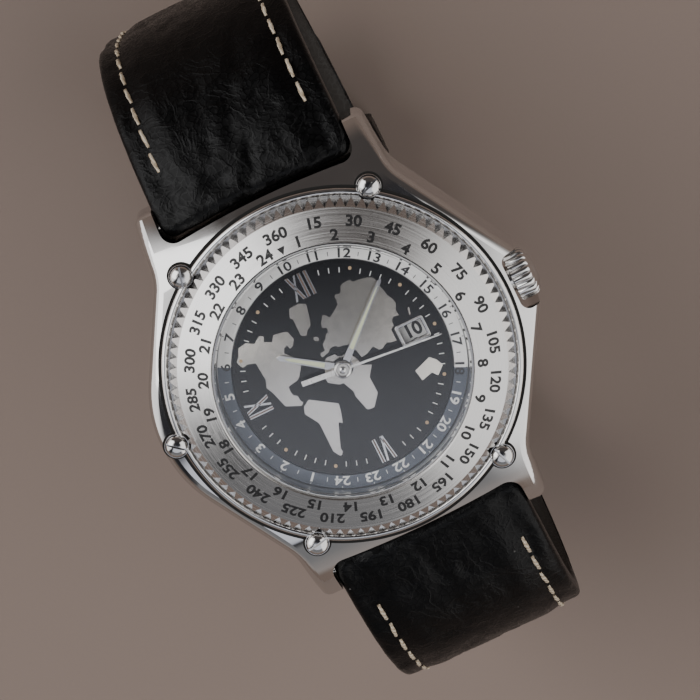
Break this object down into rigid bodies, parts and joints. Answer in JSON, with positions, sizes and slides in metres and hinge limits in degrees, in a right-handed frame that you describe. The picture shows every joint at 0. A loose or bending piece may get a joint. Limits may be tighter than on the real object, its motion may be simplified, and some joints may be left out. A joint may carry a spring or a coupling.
{
  "type": "world time watch",
  "caption": "Steel wristwatch with a toothed turning bezel, a map dial with a 24-hour ring, a date window and a padded leather strap closed by a pin buckle.",
  "frame": {"origin": "middle of the case back's outer face, on the axis of the hands", "axes": "+X to 3 o'clock and the crown, +Y to 12 o'clock, +Z out of the dial; the closed strap hangs below the case, towards -Z"},
  "size_m": [0.0394, 0.0708, 0.0539],
  "materials": {
    "case_steel": "polished stainless steel",
    "bezel_steel": "brushed stainless steel",
    "bright_steel": "polished stainless steel",
    "crystal_glass": "clear sapphire",
    "black_seal": "matt",
    "dial_black": "gloss black lacquer",
    "map_silver": "satin silver print",
    "marker_steel": "polished",
    "ring_print": "white and blue-grey halves",
    "date_white": "white",
    "hand_steel": "polished",
    "lume_cream": "pale luminous paint",
    "movement_nickel": "nickel plated",
    "movement_brass": "gilt",
    "strap_leather": "black grained leather",
    "lining_leather": "plain leather"
  },
  "bodies": {
    "case": {"case_middle": "case_steel", "case_back": "case_steel", "case_back_gasket": "black_seal", "bezel_retaining_ring": "case_steel", "case_screws": "bright_steel", "bezel_click_spring": "bright_steel", "crystal": "crystal_glass", "crystal_gasket": "black_seal", "rehaut_ring": "bezel_steel", "dial": "dial_black", "world_map": "map_silver", "hour_numerals": "marker_steel", "date_frame": "marker_steel", "calendar_plate": "movement_nickel", "crown_tube": "bright_steel", "movement_holder": "movement_nickel", "main_plate": "movement_nickel", "train_bridge": "movement_nickel", "balance_cock": "movement_nickel", "rotor_bearing": "bright_steel", "spring_bar_12": "bright_steel", "spring_bar_6": "bright_steel", "strap_12": "strap_leather", "strap_12_lining": "lining_leather", "strap_6": "strap_leather", "strap_6_lining": "lining_leather", "fixed_keeper": "strap_leather", "buckle_bar": "bright_steel"},
    "bezel": {"bezel": "bezel_steel"},
    "crown_slide": {"crown_seal": "black_seal"},
    "crown": {"crown": "case_steel", "winding_stem": "bright_steel"},
    "hour24_ring": {"hour24_ring": "ring_print"},
    "date_ring": {"date_ring": "date_white"},
    "hours": {"hour_hand": "hand_steel", "hour_hand_lume": "lume_cream", "hour_wheel": "movement_brass"},
    "minutes": {"minute_hand": "hand_steel", "minute_hand_lume": "lume_cream", "cannon_pinion": "movement_brass"},
    "seconds": {"seconds_hand": "hand_steel", "seconds_wheel": "movement_brass"},
    "minute_wheel": {"minute_wheel": "movement_brass"},
    "third_wheel": {"third_wheel": "movement_brass"},
    "escape_wheel": {"escape_wheel": "bright_steel"},
    "pallet_fork": {"pallet_fork": "bright_steel"},
    "balance_wheel": {"balance_wheel": "movement_brass"},
    "barrel": {"barrel": "movement_brass"},
    "rotor": {"rotor": "movement_nickel"},
    "free_keeper": {"free_keeper": "strap_leather"},
    "buckle_frame": {"buckle_frame": "bright_steel"},
    "buckle_prong": {"buckle_prong": "bright_steel"}
  },
  "joints": [
    {"name": "seconds_turn", "type": "hinge", "parent": "case", "child": "seconds", "pos_m": [0, 0, 0.0088], "axis": [0, 0, -1], "continuous": true},
    {"name": "minutes_turn", "type": "hinge", "parent": "case", "child": "minutes", "pos_m": [0, 0, 0.0085], "axis": [0, 0, -1], "continuous": true},
    {"name": "hours_turn", "type": "hinge", "parent": "case", "child": "hours", "pos_m": [0, 0, 0.0082], "axis": [0, 0, -1], "continuous": true},
    {"name": "hour24_ring_turn", "type": "hinge", "parent": "case", "child": "hour24_ring", "pos_m": [0, 0, 0.0079], "axis": [0, 0, -1], "continuous": true},
    {"name": "date_ring_turn", "type": "hinge", "parent": "case", "child": "date_ring", "pos_m": [0, 0, 0.007], "axis": [0, 0, -1], "continuous": true},
    {"name": "minute_wheel_turn", "type": "hinge", "parent": "case", "child": "minute_wheel", "pos_m": [-0.00251, 0.00145, 0.007], "axis": [0, 0, -1], "continuous": true},
    {"name": "third_wheel_turn", "type": "hinge", "parent": "case", "child": "third_wheel", "pos_m": [-0.00282, -0.00103, 0.0044], "axis": [0, 0, -1], "continuous": true},
    {"name": "escape_wheel_turn", "type": "hinge", "parent": "case", "child": "escape_wheel", "pos_m": [0.00179, -0.00179, 0.0044], "axis": [0, 0, -1], "continuous": true},
    {"name": "barrel_turn", "type": "hinge", "parent": "case", "child": "barrel", "pos_m": [-0.00243, 0.00667, 0.0046], "axis": [0, 0, -1], "continuous": true},
    {"name": "pallet_fork_rock", "type": "hinge", "parent": "case", "child": "pallet_fork", "pos_m": [0.0036, -0.00338, 0.0043], "axis": [0, 0, -1], "range_deg": [-5, 5]},
    {"name": "balance_swing", "type": "hinge", "parent": "case", "child": "balance_wheel", "pos_m": [0.0059, -0.0054, 0.00355], "axis": [0, 0, -1], "range_deg": [-270, 270]},
    {"name": "rotor_turn", "type": "hinge", "parent": "case", "child": "rotor", "pos_m": [0, 0, 0.002], "axis": [0, 0, 1], "continuous": true},
    {"name": "bezel_turn", "type": "hinge", "parent": "case", "child": "bezel", "pos_m": [0, 0, 0.0085], "axis": [0, 0, 1], "continuous": true},
    {"name": "crown_pull", "type": "slide", "parent": "case", "child": "crown_slide", "axis": [1, 0, 0], "range_m": [0, 0.0009]},
    {"name": "crown_turn", "type": "hinge", "parent": "crown_slide", "child": "crown", "pos_m": [0.019, 0, 0.0049], "axis": [1, 0, 0], "continuous": true},
    {"name": "free_keeper_slide", "type": "slide", "parent": "case", "child": "free_keeper", "axis": [0, -1, 0], "range_m": [0, 0.0026]},
    {"name": "buckle_frame_swing", "type": "hinge", "parent": "case", "child": "buckle_frame", "pos_m": [0, -0.003, -0.0389], "axis": [1, 0, 0], "range_deg": [0, 4]},
    {"name": "buckle_prong_swing", "type": "hinge", "parent": "buckle_frame", "child": "buckle_prong", "pos_m": [0, -0.003, -0.0389], "axis": [1, 0, 0], "range_deg": [0, 4]}
  ],
  "couplings": [
    {"joint": "minutes_turn", "follows": "seconds_turn", "ratio": 0.016667},
    {"joint": "hours_turn", "follows": "seconds_turn", "ratio": 0.0013889},
    {"joint": "hour24_ring_turn", "follows": "seconds_turn", "ratio": -0.00069444},
    {"joint": "date_ring_turn", "follows": "seconds_turn", "ratio": 0.000022401},
    {"joint": "minute_wheel_turn", "follows": "seconds_turn", "ratio": -0.0055556},
    {"joint": "third_wheel_turn", "follows": "seconds_turn", "ratio": -0.13333},
    {"joint": "escape_wheel_turn", "follows": "seconds_turn", "ratio": -10},
    {"joint": "barrel_turn", "follows": "seconds_turn", "ratio": -0.0027778}
  ]
}
